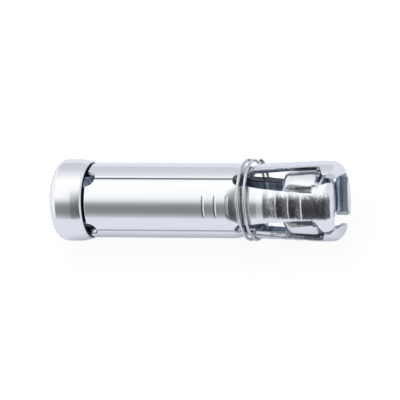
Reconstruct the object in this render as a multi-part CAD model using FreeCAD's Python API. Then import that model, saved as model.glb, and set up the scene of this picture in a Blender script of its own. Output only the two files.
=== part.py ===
import FreeCAD, Part
import math
import os

# Expansion anchor sleeve for a 10 mm bolt, lying with its axis along X.
# The origin is the centre of the cap's outer end face, where the bolt goes in.
# Four pressed shell segments stand round the axis, their heels held in a pressed cap.
# A loose wire ring of two turns lies in a groove round their necks.
# A tapered nut with four flats sits between the necks, in front of the curled feet.
# All sizes are in millimetres.

# Cap
cap_radius = 8.0
cap_length = 6.85
cap_wall = 0.6
cap_corner = 1.4
cap_hole_radius = 5.25
crimp_start = 4.6
crimp_drop = 0.3
lip_radius = 0.7

# Shell segments, along the axis
sheet = 1.25
heel_gap = 0.4
rim_gap = 0.7
body_length = 29.65
shoulder_chamfer = 0.25
groove_ramp = 1.1
groove_floor = 3.1
neck_length = 11.6
foot_straight = 1.0
foot_bend = 2.5

# Shell segments, across the axis
segment_count = 4
front_clearance = 0.2
body_radius = 7.3
groove_depth = 0.55
neck_rise = 0.5
foot_radius = 7.75
seam_gap = 0.25

# Rounded reliefs and slots on the seams, with half widths measured from the seam
relief_radius = 1.7
front_relief_offset = 0.45
slot_root_offset = 2.1
slot_root_half = 1.65
slot_root_length = 2.0
slot_bulge = 0.2
slot_end_half = 3.17
flare_length = 1.6
foot_gap_half = 0.8

# Grip ribs on the necks and the three pressed marks on each body
rib_count = 4
rib_pitch = 2.6
rib_first = 1.5
rib_height = 0.12
mark_count = 3
mark_pitch = 2.44
mark_last = 0.6
mark_width = 0.5
mark_depth = 0.12
mark_half_angle = 18.5

# Wire ring
wire_diameter = 0.6
wire_sides = 8
ring_clearance = 0.65
ring_half_turns = 4
ring_pitch = 1.4
ring_start_offset = 0.55
ring_start_angle = 30.0
ring_lift = 0.32

# Expander nut
nut_length = 7.8
nut_rear_gap = 0.35
thread_minor_radius = 4.25
thread_mouth_radius = 4.8
nose_radius = 5.3
nose_length = 2.6
corner_inset = 0.7
collar_clearance = 0.12
collar_length = 1.25
chamfer_length = 0.75
rear_face_radius = 5.8
bed_step = 0.5
bed_slope = 4.0
bed_edge_angle = 38.0

# Places along the axis
heel_x = cap_wall + heel_gap
shoulder_x = cap_length + rim_gap
groove_x = shoulder_x + body_length
floor_x = groove_x + groove_ramp
floor_end_x = floor_x + groove_floor
neck_x = floor_end_x + groove_ramp
neck_end_x = neck_x + neck_length
bend_x = neck_end_x + foot_straight
tip_x = bend_x + foot_bend
slot_x = groove_x + slot_root_offset
nut_rear_x = bend_x - nut_rear_gap
nut_nose_x = nut_rear_x - nut_length

# Radii that follow from the sizes above
lip_inner_radius = cap_radius - crimp_drop - lip_radius
front_radius = lip_inner_radius - front_clearance
groove_radius = body_radius - groove_depth
neck_end_radius = body_radius + neck_rise
tip_height = foot_radius - foot_bend
collar_radius = neck_end_radius - sheet - collar_clearance
corner_radius = neck_end_radius - corner_inset
bed_height = collar_radius - bed_step
ring_radius = groove_radius + ring_clearance + wire_diameter / 2

# Tools reach this far past the solids they cut
beyond = 5.0

# Angles in degrees: a full turn, and the middle of a rounded corner that faces +X or -X
full_turn = 360.0
forward_corner = 45.0
backward_corner = 135.0

axis_x = FreeCAD.Vector(1, 0, 0)
centre = FreeCAD.Vector(0, 0, 0)


def point(x, r):
    """A point of a profile: x along the axis, r above it."""
    return FreeCAD.Vector(x, 0, r)


def plan(x, y):
    """A point of an outline seen along +Z."""
    return FreeCAD.Vector(x, y, 0)


def line(a, b):
    return Part.LineSegment(a, b).toShape()


def arc(a, middle, b):
    return Part.Arc(a, middle, b).toShape()


def path(points):
    return [line(a, b) for a, b in zip(points, points[1:])]


def face(edges):
    return Part.Face(Part.Wire(Part.sortEdges(edges)[0]))


def turned(profile, start=0.0, angle=full_turn):
    """A profile in the XZ plane turned about the X axis, from start degrees on."""
    placed = profile.copy()
    placed.rotate(centre, axis_x, start)
    return placed.revolve(centre, axis_x, angle)


def around(shape, angle):
    copy = shape.copy()
    copy.rotate(centre, axis_x, angle)
    return copy


def arc_point(x, r, radius, degrees):
    """The point of a circle about (x, r) at an angle from the X axis."""
    angle = math.radians(degrees)
    return point(x + radius * math.cos(angle), r + radius * math.sin(angle))


def build_cap():
    """A cup of sheet with a holed end, a slightly conical crimp and a rim turned inwards.

    The corners inside the cup, which nothing shows, are plain slants.
    """
    lip_x = cap_length - lip_radius
    inner_radius = cap_radius - cap_wall
    corner_r = cap_radius - cap_corner
    lip_start = math.degrees(math.atan2(lip_x - crimp_start, crimp_drop))
    lip_top = arc_point(lip_x, lip_inner_radius, lip_radius, lip_start)
    edges = [
        line(point(0, cap_hole_radius), point(0, corner_r)),
        arc(point(0, corner_r), arc_point(cap_corner, corner_r, cap_corner, backward_corner),
            point(cap_corner, cap_radius)),
        line(point(cap_corner, cap_radius), point(crimp_start, cap_radius)),
        line(point(crimp_start, cap_radius), lip_top),
        arc(lip_top, arc_point(lip_x, lip_inner_radius, lip_radius, lip_start / 2),
            point(cap_length, lip_inner_radius)),
    ]
    edges += path([
        point(cap_length, lip_inner_radius),
        point(cap_length - cap_wall, lip_inner_radius),
        point(crimp_start, inner_radius),
        point(cap_corner, inner_radius),
        point(cap_wall, corner_r),
        point(cap_wall, cap_hole_radius),
        point(0, cap_hole_radius),
    ])
    return turned(face(edges))


def neck_radius(x):
    """The neck's plain outer radius: it rises evenly from the groove to the foot."""
    return body_radius + neck_rise * (x - neck_x) / neck_length


def ribbed_neck():
    """The neck's outer line: sharp crests with hollows between them."""
    crests = [neck_x + rib_first + n * rib_pitch for n in range(rib_count)]
    points = []
    for crest in crests:
        points.append(point(crest, neck_radius(crest) + rib_height))
        hollow = crest + rib_pitch / 2
        if crest != crests[-1]:
            points.append(point(hollow, neck_radius(hollow) - rib_height))
    return points


def shell_profile():
    """The pressed sheet in section, from the heel inside the cap to the end of the curled foot.

    The curl's inner side, which the nut hides, is two plain slants.
    """
    sheet_line = path([
        point(tip_x, tip_height),
        point(tip_x - sheet, tip_height),
        arc_point(bend_x, tip_height, foot_bend - sheet, forward_corner),
        point(bend_x, foot_radius - sheet),
        point(neck_end_x, neck_end_radius - sheet),
        point(neck_x, body_radius - sheet),
        point(floor_end_x, groove_radius - sheet),
        point(floor_x, groove_radius - sheet),
        point(groove_x, body_radius - sheet),
        point(shoulder_x + sheet, body_radius - sheet),
        point(shoulder_x, front_radius - sheet),
        point(heel_x, front_radius - sheet),
        point(heel_x, front_radius),
        point(shoulder_x, front_radius),
        point(shoulder_x, body_radius - shoulder_chamfer),
        point(shoulder_x + shoulder_chamfer, body_radius),
        point(groove_x, body_radius),
        point(floor_x, groove_radius),
        point(floor_end_x, groove_radius),
        point(neck_x, body_radius),
        *ribbed_neck(),
        point(neck_end_x, neck_end_radius),
        point(bend_x, foot_radius),
    ])
    curl_middle = arc_point(bend_x, tip_height, foot_bend, forward_corner)
    sheet_line.append(arc(point(bend_x, foot_radius), curl_middle, point(tip_x, tip_height)))
    return face(sheet_line)


def seam_tool():
    """What is cut away along a seam: the slit, its two round reliefs and the widening slot."""
    height = cap_radius + beyond
    slit = Part.makeBox(tip_x + 2 * beyond, seam_gap, height, FreeCAD.Vector(-beyond, -seam_gap / 2, 0))
    front_hole = Part.makeCylinder(relief_radius, height, plan(cap_length + front_relief_offset, 0))
    root_hole = Part.makeCylinder(relief_radius, height, plan(slot_x, 0))
    slot_edge_x = slot_x + slot_root_length
    middle_x = (slot_edge_x + neck_end_x) / 2
    middle_half = (slot_root_half + slot_end_half) / 2 + slot_bulge
    foot_x = neck_end_x + flare_length

    def side(sign):
        edges = path([plan(slot_x, 0), plan(slot_x, sign * slot_root_half),
                      plan(slot_edge_x, sign * slot_root_half)])
        edges.append(arc(plan(slot_edge_x, sign * slot_root_half),
                         plan(middle_x, sign * middle_half),
                         plan(neck_end_x, sign * slot_end_half)))
        edges += path([plan(neck_end_x, sign * slot_end_half), plan(foot_x, sign * foot_gap_half),
                       plan(tip_x + beyond, sign * foot_gap_half), plan(tip_x + beyond, 0),
                       plan(slot_x, 0)])
        return face(edges).extrude(FreeCAD.Vector(0, 0, height))

    return slit.fuse([front_hole, root_hole, side(1), side(-1)])


def foot_trim():
    """What the turned curl has too much of: the foot ends on a straight edge across its middle."""
    width = 2 * cap_radius
    return Part.makeBox(foot_bend + beyond, width, tip_height, FreeCAD.Vector(bend_x, -cap_radius, 0))


def build_segment():
    """One shell segment, its middle on +Z."""
    quarter = full_turn / segment_count
    shell = turned(shell_profile(), -quarter / 2, quarter)
    tool = seam_tool()
    shell = shell.cut([around(tool, quarter / 2), around(tool, -quarter / 2), foot_trim()])
    return shell.cut(pressed_marks()).removeSplitter()


def pressed_marks():
    """Shallow pressed lines across the body, just in front of the ring groove."""
    marks = []
    for n in range(mark_count):
        x = groove_x - mark_last - n * mark_pitch
        mark = Part.Face(Part.makePolygon([
            point(x - mark_width / 2, body_radius), point(x, body_radius - mark_depth),
            point(x + mark_width / 2, body_radius), point(x, body_radius + mark_depth),
            point(x - mark_width / 2, body_radius)]))
        marks.append(turned(mark, -mark_half_angle, 2 * mark_half_angle))
    return marks


def wire_section(start, direction):
    """The wire in section, a figure of many sides across the wire's direction."""
    across = direction.cross(axis_x).normalize()
    corners = []
    for n in range(wire_sides + 1):
        turn = FreeCAD.Rotation(direction, n * full_turn / wire_sides)
        corners.append(start + turn.multVec(across) * (wire_diameter / 2))
    return Part.makePolygon(corners)


def build_ring():
    """A coil of spring wire with free ends, resting a little high in its groove.

    Each half turn is a plain arc that leans along the axis by half the pitch. Arcs that follow each
    other lean to opposite sides, so they meet without a corner.
    """
    step = ring_pitch / 2
    arcs = []
    for n in range(ring_half_turns):
        side = 1 if n % 2 == 0 else -1
        start = FreeCAD.Vector(n * step, side * ring_radius, 0)
        end = FreeCAD.Vector((n + 1) * step, -side * ring_radius, 0)
        lean = math.hypot(ring_radius, step / 2)
        arcs.append(arc(start, (start + end) * 0.5 + FreeCAD.Vector(0, 0, side * lean), end))
    first = arcs[0]
    section = wire_section(first.valueAt(first.FirstParameter), first.tangentAt(first.FirstParameter))
    ring = Part.Wire(arcs).makePipeShell([section], True, True)
    ring.rotate(centre, axis_x, ring_start_angle)
    ring.translate(FreeCAD.Vector(floor_x + ring_start_offset, 0, ring_lift))
    return ring


def nut_profile():
    """The nut in section through a corner: rounded nose, plain band, rear bevel and bore."""
    nose_end_x = nut_nose_x + nose_length
    rise = corner_radius - nose_radius
    curve = (nose_length ** 2 + rise ** 2) / (2 * rise)
    sweep = math.degrees(math.asin(nose_length / curve))
    mouth = thread_mouth_radius - thread_minor_radius
    edges = [arc(point(nut_nose_x, nose_radius),
                 arc_point(nose_end_x, corner_radius - curve, curve, 90 + sweep / 2),
                 point(nose_end_x, corner_radius))]
    edges += path([
        point(nose_end_x, corner_radius),
        point(nut_rear_x - chamfer_length, corner_radius),
        point(nut_rear_x, rear_face_radius),
        point(nut_rear_x, thread_mouth_radius),
        point(nut_rear_x - mouth, thread_minor_radius),
        point(nut_nose_x + mouth, thread_minor_radius),
        point(nut_nose_x, thread_mouth_radius),
        point(nut_nose_x, nose_radius),
    ])
    return face(edges)


def bed_tool():
    """What is cut off the nut under one neck: a sloping flat, then a round seat for the collar."""
    wall_x = nut_rear_x - collar_length
    drop = math.tan(math.radians(bed_slope))
    start_x = nut_nose_x - beyond
    top = cap_radius + beyond
    flat = Part.Face(Part.makePolygon([
        point(start_x, bed_height - drop * (wall_x - start_x)), point(wall_x, bed_height),
        point(wall_x, top), point(start_x, top),
        point(start_x, bed_height - drop * (wall_x - start_x))]))
    flat.translate(FreeCAD.Vector(0, -cap_radius, 0))
    flat = flat.extrude(FreeCAD.Vector(0, 2 * cap_radius, 0))
    band = Part.Face(Part.makePolygon([
        point(wall_x, collar_radius), point(nut_rear_x + beyond, collar_radius),
        point(nut_rear_x + beyond, top), point(wall_x, top), point(wall_x, collar_radius)]))
    return flat.fuse(turned(band, -bed_edge_angle, 2 * bed_edge_angle))


def build_nut():
    tool = bed_tool()
    step = full_turn / segment_count
    beds = [around(tool, n * step + step / 2) for n in range(segment_count)]
    return turned(nut_profile()).cut(beds).removeSplitter()


def save(shape, name):
    solids = shape.Solids
    solid = solids[0] if len(solids) == 1 else Part.makeCompound(solids)
    if not solid.isValid():
        print("not valid:", name)
    print(name, len(solids), "solid, volume", round(solid.Volume, 2))
    solid.exportStep("parts/" + name + ".step")


def main():
    os.makedirs("parts", exist_ok=True)
    save(build_cap(), "cap")
    segment = build_segment()
    step = full_turn / segment_count
    for n in range(segment_count):
        save(around(segment, step / 2 - n * step), "shell_segment_" + str(n + 1))
    save(build_ring(), "wire_ring")
    save(build_nut(), "expander_nut")


main()
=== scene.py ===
"""Expansion anchor sleeve: a zinc plated shield of four pressed segments with its cap, wire ring and nut.

The sleeve lies with its axis along X, its cap at the origin. Every piece stands in for the CAD node
of its name, on that node's place, and is a surface worked out as a grid of two parameters. Lengths
are in millimetres until a mesh is made.
"""

import logging
import math
from dataclasses import dataclass, field
from enum import Enum
from typing import Any

import bpy
import numpy as np
from mathutils import Matrix, Vector

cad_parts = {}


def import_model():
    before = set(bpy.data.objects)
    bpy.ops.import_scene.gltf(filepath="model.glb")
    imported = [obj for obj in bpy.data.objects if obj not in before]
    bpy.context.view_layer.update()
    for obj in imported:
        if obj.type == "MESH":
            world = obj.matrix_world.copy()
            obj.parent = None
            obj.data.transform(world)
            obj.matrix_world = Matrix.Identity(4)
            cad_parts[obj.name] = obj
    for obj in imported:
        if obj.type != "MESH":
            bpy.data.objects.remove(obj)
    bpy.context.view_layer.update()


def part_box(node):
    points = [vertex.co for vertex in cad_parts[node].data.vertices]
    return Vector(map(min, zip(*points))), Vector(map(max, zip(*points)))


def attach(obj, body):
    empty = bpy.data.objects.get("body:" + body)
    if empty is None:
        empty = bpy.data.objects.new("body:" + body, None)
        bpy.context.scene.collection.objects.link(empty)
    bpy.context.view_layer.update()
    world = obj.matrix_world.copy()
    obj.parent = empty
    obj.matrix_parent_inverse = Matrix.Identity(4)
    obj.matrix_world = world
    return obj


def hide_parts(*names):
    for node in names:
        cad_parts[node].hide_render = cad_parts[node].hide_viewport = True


logging.basicConfig(level=logging.INFO, format="%(levelname)s %(message)s")
log = logging.getLogger("anchor_sleeve")

MM = 0.001
SHARP_ANGLE = math.radians(38.0)

Colour = tuple[float, float, float]

# Tones of the studio tent at angles from straight in front, over the top, to the back
TENT_FRONT: dict[float, Colour] = {
    -90.0: (0.30, 0.31, 0.37), -45.0: (0.48, 0.50, 0.57), -8.0: (0.62, 0.64, 0.71),
    3.0: (0.52, 0.54, 0.59), 13.0: (0.30, 0.32, 0.34), 19.0: (0.24, 0.26, 0.27),
    33.0: (0.25, 0.27, 0.275), 42.0: (0.36, 0.38, 0.39), 51.0: (0.76, 0.79, 0.80),
    60.0: (1.06, 1.07, 1.07)}
TENT_FRONT_DARK: dict[float, Colour] = {
    -90.0: (0.30, 0.31, 0.37), -14.0: (0.60, 0.62, 0.70), 0.0: (0.12, 0.13, 0.14),
    12.0: (0.06, 0.07, 0.075), 40.0: (0.09, 0.10, 0.105), 57.0: (0.19, 0.21, 0.22),
    71.0: (0.60, 0.64, 0.66), 84.0: (1.02, 1.02, 1.02)}
TENT_END: Colour = (0.78, 0.80, 0.84)
TENT_BACK: dict[float, Colour] = {
    112.0: (1.12, 1.12, 1.12), 130.0: (0.88, 0.89, 0.92), 148.0: (0.70, 0.72, 0.77),
    168.0: (0.66, 0.67, 0.72), 180.0: (0.66, 0.67, 0.71)}
# Tone of the surround that lights matt surfaces, and white for the camera and the tent's open side
TENT_LIGHT: Colour = (0.8, 0.8, 0.8)
WHITE: Colour = (1.0, 1.0, 1.0)


@dataclass(frozen=True)
class SideGap:
    """Half the gap that a segment keeps to one of its seams, from the slot's root to the foot's tip.

    The end is that of the slot, and over the flare it narrows to the foot's gap.
    """

    foot: float = 0.62
    tip: float = 0.62
    root: float = 1.65
    end: float = 3.17
    flare: float = 1.6


@dataclass(frozen=True)
class Wear:
    """How one pressed segment differs from the next.

    It has its own gaps at its left and right seam. The ribs are pressed to a share of their height.
    The face bruise says how much of the ribbed face is dark, from its pits and from a painted dark
    reflection, and the edge bruise how much of the cut edges is dark; the torn share says how much
    of the latter keeps to a line near the outer face, and the edge shade how much painted shade darkens
    the cut edges.
    The groove's side is the share of its depth that is left at the seams.
    """

    left: SideGap
    right: SideGap
    ribs: float
    face_bruise_and_dark_reflection: float
    edge_bruise: float
    edge_torn: float = 0.0
    edge_shade: float = 0.0
    groove_side: float = 0.15


@dataclass(frozen=True)
class Traces:
    """Where the press tool leaves traces on a segment and where painted shade lies on it, in millimetres
    and degrees.

    A start or end is a place along the axis, counted from the neck, the neck's end or the groove's
    floor. A fade or ease is the length or angle over which a trace comes or goes. The torn line wavers
    by sines of a height and a rate each. The feet's cut edges take a share of the inside's look. The
    bruise fields also place a painted dark reflection over the ribbed face's pits, the ring fields place
    painted shade on the groove floor under the wire ring, and the heel's shade length places painted
    shade in the recess before the shoulder.
    """

    bruise_lead: float = 1.1
    bruise_ease: float = 6.0
    bruise_left: float = 25.5
    bruise_left_fade: float = 12.0
    bruise_right: float = 31.0
    bruise_right_fade: float = 26.0
    tip_fade: float = 0.3
    crest_width: float = 0.11
    crest_clean: float = 0.85
    cut_ease: float = 1.5
    cut_end: float = 0.6
    cut_fade: float = 0.8
    torn_depth: float = 0.38
    torn_waves: tuple[tuple[float, float], ...] = ((0.10, 2.3), (0.06, 5.9))
    torn_width: float = 0.17
    foot_start: float = 0.8
    foot_ease: float = 0.6
    foot_inner: float = 0.4
    ring_end: float = 2.7
    ring_ease: float = 0.3
    ring_fade: float = 0.2
    ring_half_angle: float = 40.0
    ring_side_fade: float = 12.0
    ring_shade_amount: float = 0.5
    edge_ease: float = 0.5
    heel_shade_length: float = 2.0


class Side(Enum):
    """Where a shell segment stands round the axis, in degrees from +Z towards +Y."""

    NEAR = -45.0
    TOP = 45.0
    FAR = 135.0
    BOTTOM = 225.0


def smooth_step(value: np.ndarray) -> np.ndarray:
    """Eases from 0 to 1: three times the square less twice the cube, held outside.

    Args:
        value: Any numbers; 0 and below give 0, 1 and above give 1.

    Returns:
        The eased numbers.
    """
    held = np.clip(value, 0.0, 1.0)
    return held * held * (3.0 - 2.0 * held)


def plateau(value: np.ndarray, start: float, rise: float, end: float, fall: float) -> np.ndarray:
    """Eases from 0 to 1 over the rise after the start, and back to 0 over the fall before the end."""
    return smooth_step((value - start) / rise) * smooth_step((end - value) / fall)


def opaque(colour: Colour, factor: float = 1.0) -> tuple[float, float, float, float]:
    """A colour for a node: its parts times a factor, with an alpha of 1."""
    return (*(factor * part for part in colour), 1.0)


def bell(value: np.ndarray, width: float) -> np.ndarray:
    """A bell curve of height 1: e to the power of minus the square of value over width."""
    return np.exp(-((value / width) ** 2))


def grid_quads(rows: int, columns: int, wrap_rows: bool, wrap_columns: bool) -> np.ndarray:
    """Joins the points of a grid into four-sided faces.

    Point number is row times columns plus column, and a face takes a point, the next in its row,
    and the same two of the next row.

    Args:
        rows: Number of rows.
        columns: Number of points in a row.
        wrap_rows: Whether the last row meets the first.
        wrap_columns: Whether each row closes on itself.

    Returns:
        An array of faces, four point numbers each.
    """
    row = np.arange(rows if wrap_rows else rows - 1)[:, None]
    column = np.arange(columns if wrap_columns else columns - 1)[None, :]
    next_row = (row + 1) % rows
    next_column = (column + 1) % columns
    corners = (row * columns + column, row * columns + next_column,
               next_row * columns + next_column, next_row * columns + column)
    return np.stack([np.broadcast_to(c, (row.size, column.size)) for c in corners], -1).reshape(-1, 4)


def solid_volume(points: np.ndarray, quads: np.ndarray) -> float:
    """The signed volume inside closed faces: a sixth of the sum of a . (b x c) over their triangles.

    Args:
        points: The points, three numbers each.
        quads: The faces, four point numbers each.

    Returns:
        The volume, which is negative where the faces look inwards.
    """
    a, b, c, d = (points[quads[:, n]] for n in range(4))
    halves = np.cross(b, c) + np.cross(c, d)
    return float(np.einsum("ij,ij->", a, halves)) / 6.0


def make_piece(name: str, points: np.ndarray, quads: np.ndarray,
               masks: dict[str, np.ndarray] | None = None) -> bpy.types.Object:
    """Makes a closed piece with its faces outwards.

    Args:
        name: The piece's name.
        points: Points in millimetres, three numbers each.
        quads: Faces, four point numbers each; a number may repeat where a face has three corners.
        masks: Numbers per point, kept as attributes for the materials.

    Returns:
        The new object, at the origin.
    """
    if solid_volume(points, quads) < 0.0:
        quads = quads[:, ::-1]
    faces = [list(dict.fromkeys(corners)) for corners in quads.tolist()]
    mesh = bpy.data.meshes.new(name)
    mesh.from_pydata((points * MM).tolist(), [], faces)
    for mask, numbers in (masks or {}).items():
        layer = mesh.attributes.new(mask, "FLOAT", "POINT")
        layer.data.foreach_set("value", numbers.astype(np.float32).ravel())
    mesh.polygons.foreach_set("use_smooth", np.ones(len(mesh.polygons), dtype=bool))
    mesh.set_sharp_from_angle(angle=SHARP_ANGLE)
    mesh.validate()
    log.info("%s: %d points, %d faces", name, len(mesh.vertices), len(mesh.polygons))
    return new_object(name, mesh)


def new_object(name: str, data: Any) -> bpy.types.Object:
    """Puts an object into the scene.

    Args:
        name: Its name.
        data: The mesh, lamp or camera that it shows.

    Returns:
        The object, at the origin.
    """
    made = bpy.data.objects.new(name, data)
    bpy.context.scene.collection.objects.link(made)
    return made


def turned_ring(profile: np.ndarray, count: int) -> tuple[np.ndarray, np.ndarray]:
    """Turns a closed profile about the X axis: (x, r) goes to (x, r sin a, r cos a) for each angle a.

    Args:
        profile: Points (x, r) of the closed profile, in order.
        count: Number of steps round the axis.

    Returns:
        The points, and the faces between them.
    """
    angle = np.linspace(0.0, 2.0 * math.pi, count, endpoint=False)[None, :]
    x = np.broadcast_to(profile[:, :1], (len(profile), count))
    points = np.stack([x, profile[:, 1:] * np.sin(angle), profile[:, 1:] * np.cos(angle)], -1)
    return points.reshape(-1, 3), grid_quads(len(profile), count, True, True)


def arc_points(centre: tuple[float, float], radius: float, start: float, end: float,
               count: int) -> np.ndarray:
    """Points of a circle in the (x, r) plane: centre plus radius times (cos, sin) of each angle.

    Args:
        centre: The circle's centre, as x and r.
        radius: Its radius.
        start: The first angle in degrees, from the X axis.
        end: The last angle in degrees.
        count: Number of points.

    Returns:
        The points, two numbers each.
    """
    angle = np.radians(np.linspace(start, end, count))
    return np.stack([centre[0] + radius * np.cos(angle), centre[1] + radius * np.sin(angle)], -1)


class Graph:
    """Short calls that add nodes to a tree and link them."""

    def __init__(self, tree: bpy.types.NodeTree) -> None:
        """Starts on a node tree.

        Args:
            tree: The tree of a material, a world or a node group.
        """
        self.tree = tree
        self.count = 0

    def add(self, kind: str, inputs: dict[Any, Any] | None = None, **settings: Any) -> bpy.types.Node:
        """Adds a node.

        Args:
            kind: The node's type name without its "ShaderNode" start, or a full type name.
            inputs: Socket name or number to a value, or to an output socket that is linked in.
            **settings: Properties of the node.

        Returns:
            The new node.
        """
        full = kind if kind.startswith("Node") else "ShaderNode" + kind
        node = self.tree.nodes.new(full)
        node.location = (180.0 * (self.count % 8), -220.0 * (self.count // 8))
        self.count += 1
        for name, value in settings.items():
            setattr(node, name, value)
        for socket, value in (inputs or {}).items():
            self.feed(node, socket, value)
        return node

    def feed(self, node: bpy.types.Node, socket: Any, value: Any) -> None:
        """Sets a node's input, or links an output socket to it.

        Args:
            node: The node.
            socket: The input's name or number.
            value: A value for it, or an output socket.
        """
        if isinstance(value, bpy.types.NodeSocket):
            self.tree.links.new(value, node.inputs[socket])
        else:
            node.inputs[socket].default_value = value

    def maths(self, operation: str, first: Any, second: Any = 0.0, third: Any = 0.0) -> Any:
        """One step of arithmetic, held between 0 and 1 only where the operation does so."""
        node = self.add("Math", {0: first, 1: second, 2: third}, operation=operation)
        return node.outputs[0]

    def blend(self, amount: Any, first: Any, second: Any) -> Any:
        """Mixes two colours by an amount from 0 to 1."""
        node = self.add("Mix", {0: amount, 6: first, 7: second}, data_type="RGBA")
        return node.outputs[2]

    def spread(self, value: Any, low: float, high: float, to_low: float = 0.0,
               to_high: float = 1.0) -> Any:
        """Stretches the span from low to high over another span, and holds it inside that."""
        node = self.add("MapRange", {0: value, 1: low, 2: high, 3: to_low, 4: to_high}, clamp=True)
        return node.outputs[0]

    def noise(self, vector: Any, scale: float, detail: float = 3.0, roughness: float = 0.55) -> Any:
        """Cloudy noise from 0 to 1 at a number of spots to the millimetre."""
        node = self.add("TexNoise", {"Vector": vector, "Scale": scale, "Detail": detail,
                                     "Roughness": roughness})
        return node.outputs["Fac"]

    def mask(self, name: str) -> Any:
        """A number per point that a piece's mesh carries."""
        node = self.add("Attribute", attribute_name=name)
        return node.outputs["Fac"]


def blank_graph(owner: Any) -> Graph:
    """Gives a material or a world an empty node tree.

    Args:
        owner: The material or the world.

    Returns:
        The tree's graph.
    """
    owner.use_nodes = True
    owner.node_tree.nodes.clear()
    return Graph(owner.node_tree)


def new_group(name: str, inputs: dict[str, tuple[str, Any]],
              outputs: dict[str, str]) -> tuple[Graph, Any, Any]:
    """Starts a shader node group.

    Args:
        name: The group's name.
        inputs: Socket name to its type and default value; a default of None is left alone.
        outputs: Socket name to its type.

    Returns:
        The graph, and its input and output nodes.
    """
    tree = bpy.data.node_groups.new(name, "ShaderNodeTree")
    for label, (kind, value) in inputs.items():
        socket = tree.interface.new_socket(label, in_out="INPUT", socket_type="NodeSocket" + kind)
        if value is not None:
            socket.default_value = value
    for label, kind in outputs.items():
        tree.interface.new_socket(label, in_out="OUTPUT", socket_type="NodeSocket" + kind)
    graph = Graph(tree)
    return graph, graph.add("NodeGroupInput"), graph.add("NodeGroupOutput")


def plated_skin_group() -> bpy.types.NodeTree:
    """Zinc plate on pressed steel: soft clouds, fine grain and rolling lines along the axis.

    Returns:
        A group with the outputs Shade, Roughness and Height, each near 0 to 1.
    """
    graph, start, end = new_group(
        "Plated Skin",
        {"Vector": ("Vector", None), "Clouds": ("Float", 0.2), "Grain": ("Float", 0.3),
         "Gloss": ("Float", 0.25)},
        {"Shade": "Float", "Roughness": "Float", "Height": "Float"})
    place = start.outputs["Vector"]
    clouds = graph.noise(place, 0.35, 4.0)
    drawn = graph.add("Mapping", {"Vector": place, "Scale": (0.12, 3.0, 3.0)}).outputs[0]
    lines = graph.noise(drawn, 1.6, 3.0)
    grain = graph.noise(place, 9.0, 2.0)
    amount = start.outputs["Clouds"]
    cloud_part = graph.maths("MULTIPLY", graph.spread(clouds, 0.3, 0.7, -1.0, 1.0), amount)
    line_part = graph.maths("MULTIPLY", graph.spread(lines, 0.25, 0.75, -1.0, 1.0), amount)
    soft = graph.maths("MULTIPLY_ADD", line_part, 0.5, cloud_part)
    shade = graph.maths("ADD", 1.0, soft)
    graph.feed(end, "Shade", graph.add("Clamp", {0: shade}).outputs[0])
    speckle = graph.spread(grain, 0.3, 0.7, -1.0, 1.0)
    rough = graph.maths("MULTIPLY_ADD", speckle, 0.05, start.outputs["Gloss"])
    graph.feed(end, "Roughness", graph.maths("MULTIPLY_ADD", cloud_part, 0.25, rough))
    bumps = graph.maths("MULTIPLY", grain, start.outputs["Grain"])
    graph.feed(end, "Height", graph.maths("MULTIPLY_ADD", lines, 0.4, bumps))
    return graph.tree


def pitted_group() -> bpy.types.NodeTree:
    """A surface bruised by its press tool: dark blotches and pits with bright flecks between them.

    Returns:
        A group with the outputs Dark, a mask of the pits, and Height.
    """
    graph, start, end = new_group(
        "Bruised Metal",
        {"Vector": ("Vector", None), "Coverage": ("Float", 0.5)},
        {"Dark": "Float", "Height": "Float"})
    place = start.outputs["Vector"]
    coarse = graph.noise(place, 0.9, 4.0, 0.6)
    streaked = graph.add("Mapping", {"Vector": place, "Scale": (1.7, 0.6, 0.6)}).outputs[0]
    fine = graph.noise(streaked, 2.2, 4.0, 0.7)
    pits = graph.maths("MULTIPLY_ADD", fine, 0.6, graph.maths("MULTIPLY", coarse, 0.4))
    level = graph.maths("MULTIPLY_ADD", start.outputs["Coverage"], -0.5, 0.78)
    dark = graph.maths("SUBTRACT", pits, level)
    covered = graph.spread(start.outputs["Coverage"], 0.0, 0.12)
    graph.feed(end, "Dark", graph.maths("MULTIPLY", graph.spread(dark, -0.03, 0.17), covered))
    graph.feed(end, "Height", pits)
    return graph.tree


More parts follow.
